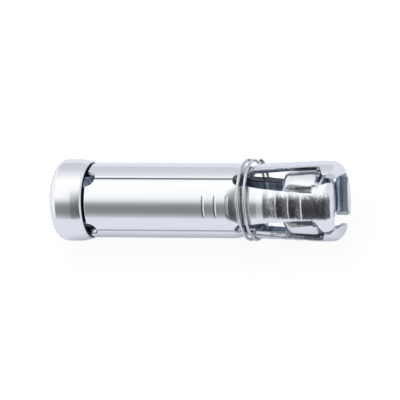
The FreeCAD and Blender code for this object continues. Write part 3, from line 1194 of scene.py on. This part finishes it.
    def build(self) -> None:
        """Makes the nut as one closed grid, and puts it on its body."""
        x, radius, angle = self.outside()
        skin_x = np.broadcast_to(x[:, None], radius.shape)
        last = angle[-1]
        rear_r = radius[-1]
        face_part = np.linspace(0.0, 1.0, 5)[1:-1, None]
        face_r = rear_r[None, :] * (1.0 - face_part) + self.mouth * face_part
        rear_face = np.full_like(face_r, self.rear)
        bore_x, bore_r = self.bore(self.bore_rows, last)
        nose_r = radius[0][None, :] * face_part + self.mouth * (1.0 - face_part)
        nose_face = np.full_like(nose_r, self.nose)
        all_x = np.concatenate([skin_x, rear_face, bore_x, nose_face])
        all_r = np.concatenate([radius, face_r, bore_r, nose_r])
        behind = len(face_r) + len(bore_r) + len(nose_r)
        tail = np.broadcast_to(last[None, :], (behind, len(last)))
        ease = np.concatenate([np.zeros(len(face_r)), np.linspace(0.0, 1.0, len(bore_r)),
                               np.ones(len(nose_r))])
        tail = tail * (1.0 - ease[:, None]) + angle[0][None, :] * ease[:, None]
        turn = np.radians(np.concatenate([angle, tail]) + 45.0)
        points = np.stack([all_x, all_r * np.sin(turn), all_r * np.cos(turn)], -1)
        rows, columns = all_x.shape
        masks = self.masks(all_x, np.concatenate([angle, tail]), len(x), len(face_r), len(nose_r))
        quads = grid_quads(rows, columns, True, True)
        piece = make_piece("tapered_nut", points.reshape(-1, 3), quads, masks)
        piece.data.materials.append(Workshop.material(self.finish))
        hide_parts("expander_nut")
        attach(piece, "expander_nut")


class Workshop:
    """Keeps the finishes' materials, so that each is built once."""

    made: dict[str, bpy.types.Material] = {}
    groups: dict[str, bpy.types.NodeTree] = {}

    @classmethod
    def material(cls, finish: ZincFinish) -> bpy.types.Material:
        """The material of a finish, built at its first use.

        Args:
            finish: The finish.

        Returns:
            Its material.
        """
        if not cls.groups:
            cls.groups = {"skin": plated_skin_group(), "bruised": pitted_group()}
        if finish.name not in cls.made:
            cls.made[finish.name] = finish.build(cls.groups["skin"], cls.groups["bruised"])
        return cls.made[finish.name]


@dataclass
class Studio:
    """The white floor, the surroundings that the metal mirrors, the lamp and the camera."""

    middle: Vector
    floor_height: float
    towards_camera: Vector = field(default_factory=lambda: Vector((0.32, -0.554, 0.769)))
    distance: float = 1.0
    view_width: float = 0.0780
    roll: float = 0.3
    lift: float = 0.0001
    tilt_span: tuple[float, float] = (-0.36, 0.10)
    end_span: tuple[float, float] = (0.40, 0.52)
    open_span: tuple[float, float] = (-0.72, -0.52)
    floor_half: float = 1.2
    floor_paint: Colour = (0.86, 0.88, 0.94)
    floor_mirrored: Colour = (0.52, 0.54, 0.62)
    floor_glow: tuple[float, float] = (0.45, 0.93)
    lamp_size: float = 0.5
    lamp_watts: float = 3.0
    lamp_place: Vector = field(default_factory=lambda: Vector((-0.1, 0.15, 0.8)))
    sensor_width: float = 36.0

    def looking_rays(self, graph: Graph) -> Any:
        """1 for the rays that look at things (camera, glossy, transmission), 0 for those that light them.

        Args:
            graph: The graph that asks.

        Returns:
            The value's socket.
        """
        path = graph.add("LightPath")
        glossy = graph.maths("MAXIMUM", path.outputs["Is Glossy Ray"], path.outputs["Is Transmission Ray"])
        return graph.maths("MAXIMUM", path.outputs["Is Camera Ray"], glossy)

    def world(self) -> None:
        """The surround that the metal mirrors: a tent, bright overhead and grey low in front.

        The tent's tone follows the angle round the X axis, from straight in front (-Y) over the top
        to the back. Its front is darker towards +X, its end at +X has one tone, and its side at -X
        is open and white. Matt surfaces are lit by one plain tone, and the camera itself sees white.
        """
        world = bpy.data.worlds.new("studio_tent")
        graph = blank_graph(world)
        look = graph.add("SeparateXYZ", {0: graph.add("TexCoord").outputs["Generated"]})
        forward = graph.maths("MULTIPLY", look.outputs[1], -1.0)
        turn = graph.maths("ARCTAN2", look.outputs[2], forward)
        share = graph.spread(turn, -math.pi, math.pi)
        plain = self.tent_ramp(graph, share, {**TENT_FRONT, **TENT_BACK})
        dark = self.tent_ramp(graph, share, {**TENT_FRONT_DARK, **TENT_BACK})
        towards = graph.spread(look.outputs[0], *self.tilt_span)
        front = graph.blend(towards, plain, dark)
        end = graph.spread(look.outputs[0], *self.end_span)
        open_side = graph.spread(look.outputs[0], *self.open_span, 1.0, 0.0)
        lit = graph.blend(open_side, front, opaque(WHITE))
        tent = graph.blend(end, lit, opaque(TENT_END))
        mirrored = graph.blend(self.looking_rays(graph), opaque(TENT_LIGHT), tent)
        direct = graph.add("LightPath").outputs["Is Camera Ray"]
        colour = graph.blend(direct, mirrored, opaque(WHITE))
        sky = graph.add("Background", {"Color": colour, "Strength": 1.0})
        graph.add("OutputWorld", {"Surface": sky.outputs[0]})
        bpy.context.scene.world = world

    def tent_ramp(self, graph: Graph, share: Any, tones: dict[float, Colour]) -> Any:
        """A ramp of tones over the angle.

        Args:
            graph: The world's graph.
            share: The angle as a share of the full turn, from straight behind and below.
            tones: Angle in degrees to the tone there.

        Returns:
            The colour socket.
        """
        node = graph.add("ValToRGB", {0: share})
        elements = node.color_ramp.elements
        shares = [(angle + 180.0) / 360.0 for angle in sorted(tones)]
        elements[0].position, elements[-1].position = shares[0], shares[-1]
        for middle in shares[1:-1]:
            elements.new(middle)
        for element, angle in zip(elements, sorted(tones)):
            element.color = opaque(tones[angle])
        return node.outputs[0]

    def floor(self) -> None:
        """A white floor that keeps a soft shadow."""
        half = self.floor_half
        corners = [(-half, -half), (half, -half), (half, half), (-half, half)]
        mesh = bpy.data.meshes.new("floor")
        mesh.from_pydata([(x, y, self.floor_height) for x, y in corners], [], [(0, 1, 2, 3)])
        floor = new_object("floor", mesh)
        material = bpy.data.materials.new("floor_white")
        graph = blank_graph(material)
        paint = graph.add("BsdfDiffuse", {"Color": opaque(self.floor_paint)})
        direct = graph.add("LightPath").outputs["Is Camera Ray"]
        tone = graph.blend(direct, opaque(self.floor_mirrored), opaque(WHITE))
        glow = graph.add("Emission", {"Color": tone, "Strength": 1.0})
        amount = graph.spread(direct, 0.0, 1.0, *self.floor_glow)
        amount = graph.maths("MULTIPLY", self.looking_rays(graph), amount)
        mixed = graph.add("MixShader", {0: amount, 1: paint.outputs[0], 2: glow.outputs[0]})
        graph.add("OutputMaterial", {"Surface": mixed.outputs[0]})
        mesh.materials.append(material)

    def lamp(self) -> None:
        """One large soft lamp overhead, kept out of the mirrors."""
        data = bpy.data.lights.new("overhead", "AREA")
        data.shape = "DISK"
        data.size = self.lamp_size
        data.energy = self.lamp_watts
        lamp = new_object("overhead", data)
        lamp.location = self.middle + self.lamp_place
        lamp.rotation_euler = (self.middle - lamp.location).to_track_quat("-Z", "Y").to_euler()
        lamp.visible_glossy = False

    def camera(self) -> None:
        """A long lens at the photograph's angle, rolled so that the sleeve lies level."""
        back = self.towards_camera.normalized()
        right = (Vector((1.0, 0.0, 0.0)) - back * back.x).normalized()
        up = back.cross(right)
        spin = Matrix.Rotation(math.radians(self.roll), 3, back)
        right, up = spin @ right, spin @ up
        data = bpy.data.cameras.new("camera")
        data.sensor_width = self.sensor_width
        data.lens = data.sensor_width * self.distance / self.view_width
        data.clip_start = 0.01
        camera = new_object("camera", data)
        turn = Matrix((right, up, back)).transposed().to_4x4()
        place = self.middle + back * self.distance + up * self.lift
        camera.matrix_world = Matrix.Translation(place) @ turn
        bpy.context.scene.camera = camera

    def build(self) -> None:
        """Sets up everything round the object."""
        self.world()
        self.floor()
        self.lamp()
        self.camera()


def main() -> None:
    """Builds the sleeve round its CAD frame and sets up the studio."""
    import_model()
    cap_low, cap_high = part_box("cap")
    shell_low, shell_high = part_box("shell_segment_1")
    nut_low, nut_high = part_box("expander_nut")
    bright = ZincFinish("bright_zinc_sheet", (0.90, 0.91, 0.93), gloss=0.15)
    cup = ZincFinish("bright_zinc_cup", (0.90, 0.905, 0.92), gloss=0.14, clouds=0.08)
    spring = ZincFinish("zinc_spring_wire", (0.68, 0.69, 0.71), gloss=0.12, clouds=0.10)
    # The nut's painted shade colour is a dark grey-green for its shaded beds
    machined = ZincFinish("zinc_machined_nut", (0.88, 0.89, 0.92), gloss=0.20, clouds=0.05,
                          painted_shade_colour=(0.10, 0.11, 0.10))
    Cap(length=cap_high.x / MM, radius=cap_high.z / MM, finish=cup).build()
    shell = ShellSegment(tip=shell_high.x / MM, heel=shell_low.x / MM, finish=bright)
    # Each segment's face bruise carries a painted dark reflection, and its edge shade carries painted
    # shade on the cut edges
    wears = {
        Side.NEAR: Wear(SideGap(0.35, 0.35), SideGap(1.4, 0.4), ribs=1.0, face_bruise_and_dark_reflection=1.0,
                        edge_bruise=0.3),
        Side.TOP: Wear(SideGap(0.62, 1.6, root=2.3), SideGap(0.3, 0.3), ribs=0.25, face_bruise_and_dark_reflection=0.3,
                       edge_bruise=1.0, edge_torn=0.8),
        Side.FAR: Wear(SideGap(0.3, 0.3), SideGap(2.0, 1.75, flare=0.5), ribs=0.5, face_bruise_and_dark_reflection=0.5,
                       edge_bruise=0.3, edge_shade=0.92, groove_side=0.85),
        Side.BOTTOM: Wear(SideGap(0.94, 1.2, end=1.9), SideGap(0.35, 0.35), ribs=0.35, face_bruise_and_dark_reflection=0.5,
                          edge_bruise=0.66, groove_side=0.85)}
    for number, side in enumerate(Side, 1):
        shell.build(number, side, wears[side])
    WireRing(groove=shell.floor, finish=spring).build()
    ExpanderNut(nose=nut_low.x / MM, rear=nut_high.x / MM, finish=machined).build()
    middle = Vector(((cap_low.x + shell_high.x) / 2.0, 0.0, 0.0))
    Studio(middle, cap_low.z).build()
    bpy.context.scene.view_settings.view_transform = "Standard"


if __name__ == "__main__":
    main()
